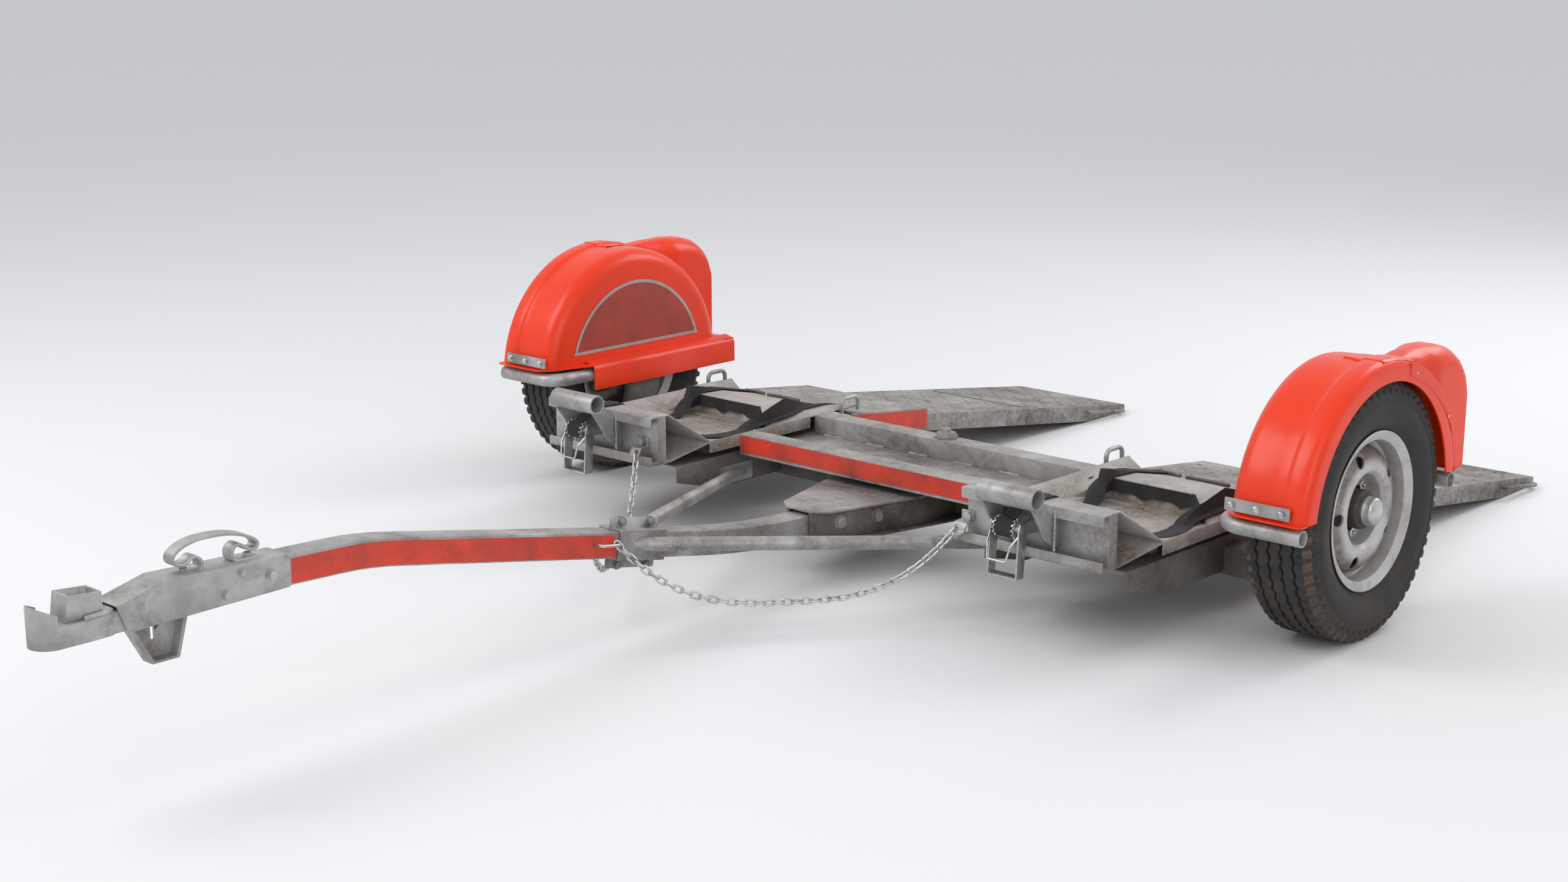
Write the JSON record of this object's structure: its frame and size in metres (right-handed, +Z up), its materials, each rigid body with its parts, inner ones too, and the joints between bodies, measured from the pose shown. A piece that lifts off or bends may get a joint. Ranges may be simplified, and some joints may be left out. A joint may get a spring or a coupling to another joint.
{
  "type": "tow dolly",
  "caption": "Open-framed two-wheel car dolly: bent tongue with ball coupler, wheel cradles with stop tubes and straps, moulded fenders, hinged loading ramps.",
  "frame": {"origin": "on the ground under the middle of the overall length and width", "axes": "+Z up, -Y the way it travels (coupler end), +Y the ramps, +X the left-hand side of someone facing the way it travels"},
  "size_m": [2.606, 4.173, 0.6579],
  "materials": {
    "tyre": "worn, dusty",
    "rim_steel": "light grey with brown dirt in the well",
    "hub_steel": "dirty plated steel",
    "galvanised": "weathered zinc",
    "weathered_steel": "dull grey with rust at edges",
    "pan_steel": "scuffed grey with brown dirt",
    "fender_orange": "glossy moulded",
    "webbing": "woven strap",
    "bright_steel": "plated"
  },
  "bodies": {
    "frame": {"axle_arm_left": "weathered_steel", "axle_arm_right": "weathered_steel", "axle_beam": "weathered_steel", "base_plate": "galvanised", "bow_handle": "galvanised", "brace_left": "galvanised", "brace_right": "galvanised", "chain_eyes": "bright_steel", "chain_tab_left": "bright_steel", "chain_tab_right": "bright_steel", "coupler_head": "galvanised", "coupler_housing": "galvanised", "coupler_latch": "galvanised", "deck_left": "galvanised", "deck_right": "galvanised", "fender_frame_left": "galvanised", "fender_frame_right": "galvanised", "fender_hood_left": "fender_orange", "fender_hood_right": "fender_orange", "fender_left": "fender_orange", "fender_right": "fender_orange", "foot_bracket": "galvanised", "front_beam": "galvanised", "pan_left": "pan_steel", "pan_right": "pan_steel", "pivot_stack": "galvanised", "ratchet_left": "bright_steel", "ratchet_right": "bright_steel", "rear_beam": "galvanised", "safety_chain_left": "bright_steel", "safety_chain_right": "bright_steel", "stop_channel_left": "galvanised", "stop_channel_right": "galvanised", "stop_tube_left": "galvanised", "stop_tube_right": "galvanised", "tie_loops": "galvanised", "tongue": "galvanised", "tongue_clamp_left": "galvanised", "tongue_clamp_right": "galvanised", "tongue_plate_bottom": "weathered_steel", "tongue_plate_sides": "weathered_steel", "tongue_plate_top": "weathered_steel", "tray_left": "weathered_steel", "tray_right": "weathered_steel", "wheel_strap_left": "webbing", "wheel_strap_right": "webbing"},
    "wheel_left": {"tyre_left": "tyre", "rim_left": "rim_steel", "hub_left": "hub_steel"},
    "loading_ramp_left": {"ramp_left": "galvanised"},
    "handle_left": {"ratchet_handle_left": "bright_steel"},
    "wheel_right": {"tyre_right": "tyre", "rim_right": "rim_steel", "hub_right": "hub_steel"},
    "loading_ramp_right": {"ramp_right": "galvanised"},
    "handle_right": {"ratchet_handle_right": "bright_steel"}
  },
  "joints": [
    {"name": "wheel_spin_left", "type": "hinge", "parent": "frame", "child": "wheel_left", "pos_m": [1.204, 0.4965, 0.304], "axis": [1, 0, 0], "continuous": true},
    {"name": "ramp_lift_left", "type": "hinge", "parent": "frame", "child": "loading_ramp_left", "pos_m": [0.7375, 0.9665, 0.154], "axis": [1, 0, 0], "range_deg": [0, 8]},
    {"name": "ratchet_swing_left", "type": "hinge", "parent": "frame", "child": "handle_left", "pos_m": [0.705, -0.1035, 0.284], "axis": [1, 0, 0], "range_deg": [-110, 0]},
    {"name": "wheel_spin_right", "type": "hinge", "parent": "frame", "child": "wheel_right", "pos_m": [-1.204, 0.4965, 0.304], "axis": [1, 0, 0], "continuous": true},
    {"name": "ramp_lift_right", "type": "hinge", "parent": "frame", "child": "loading_ramp_right", "pos_m": [-0.6685, 0.9665, 0.154], "axis": [1, 0, 0], "range_deg": [0, 8]},
    {"name": "ratchet_swing_right", "type": "hinge", "parent": "frame", "child": "handle_right", "pos_m": [-0.701, -0.1035, 0.284], "axis": [1, 0, 0], "range_deg": [-110, 0]}
  ]
}
